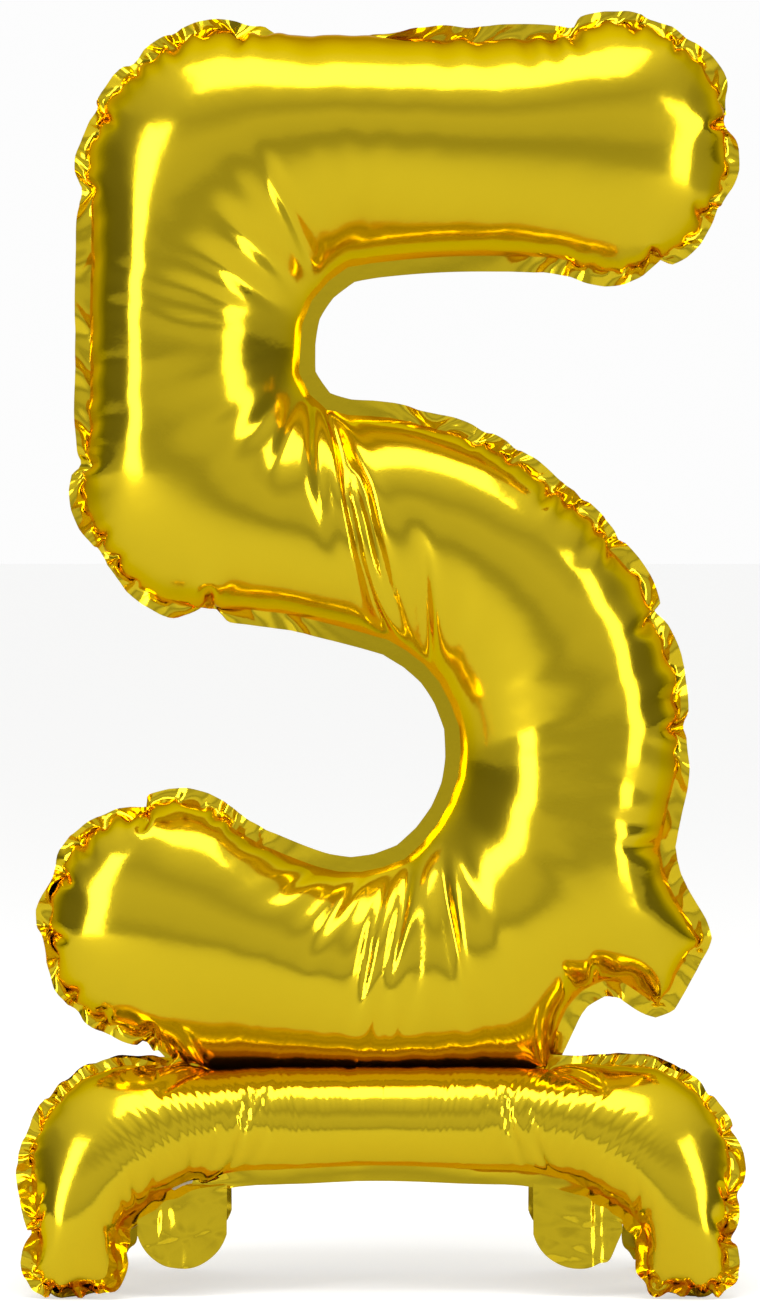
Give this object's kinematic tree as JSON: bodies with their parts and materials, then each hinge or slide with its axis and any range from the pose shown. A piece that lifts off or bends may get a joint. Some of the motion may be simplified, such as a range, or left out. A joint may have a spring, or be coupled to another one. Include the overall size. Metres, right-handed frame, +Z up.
{
  "type": "foil number balloon",
  "caption": "Air-filled gold foil balloon shaped as the digit five, welded at a straight waist to a two-footed inflated stand with half-round tabs.",
  "frame": {"origin": "on the floor, under the middle of the stand", "axes": "+X to the right of the digit as it is read, -Y towards the reader, +Z up"},
  "size_m": [0.412, 0.1482, 0.713],
  "materials": {
    "gold_foil": "bright gold metallised plastic film, finely wrinkled along its welds",
    "valve_film": "clear thin film"
  },
  "bodies": {
    "stand": {"front_foot_outer_film": "gold_foil", "front_foot_inner_film": "gold_foil", "front_foot_welded_border": "gold_foil", "rear_foot_outer_film": "gold_foil", "rear_foot_inner_film": "gold_foil", "rear_foot_welded_border": "gold_foil", "gusset_fold": "gold_foil", "waist_weld": "gold_foil", "left_side_weld": "gold_foil", "right_side_weld": "gold_foil", "stand_valve_front_layer": "valve_film", "stand_valve_back_layer": "valve_film"},
    "digit": {"digit_front_film": "gold_foil", "digit_back_film": "gold_foil", "digit_welded_border": "gold_foil", "digit_valve_front_layer": "valve_film", "digit_valve_back_layer": "valve_film"},
    "front_left_tab": {"front_foot_left_tab": "gold_foil"},
    "front_right_tab": {"front_foot_right_tab": "gold_foil"},
    "rear_left_tab": {"rear_foot_left_tab": "gold_foil"},
    "rear_right_tab": {"rear_foot_right_tab": "gold_foil"}
  },
  "joints": [
    {"name": "digit_lean", "type": "hinge", "parent": "stand", "child": "digit", "pos_m": [0, 0, 0.1218], "axis": [1, 0, 0], "range_deg": [-10, 10], "stiffness_Nm_per_rad": 0.5},
    {"name": "front_left_tab_swing", "type": "hinge", "parent": "stand", "child": "front_left_tab", "pos_m": [-0.11007, -0.04305, 0.0363], "axis": [-0.8384, -0.1133, -0.5331], "range_deg": [-70, 70], "stiffness_Nm_per_rad": 0.0005},
    {"name": "front_right_tab_swing", "type": "hinge", "parent": "stand", "child": "front_right_tab", "pos_m": [0.11007, -0.04305, 0.0363], "axis": [-0.8384, 0.1133, 0.5331], "range_deg": [-70, 70], "stiffness_Nm_per_rad": 0.0005},
    {"name": "rear_left_tab_swing", "type": "hinge", "parent": "stand", "child": "rear_left_tab", "pos_m": [-0.11007, 0.04305, 0.0363], "axis": [0.8384, -0.1133, 0.5331], "range_deg": [-70, 70], "stiffness_Nm_per_rad": 0.0005},
    {"name": "rear_right_tab_swing", "type": "hinge", "parent": "stand", "child": "rear_right_tab", "pos_m": [0.11007, 0.04305, 0.0363], "axis": [0.8384, 0.1133, -0.5331], "range_deg": [-70, 70], "stiffness_Nm_per_rad": 0.0005}
  ]
}
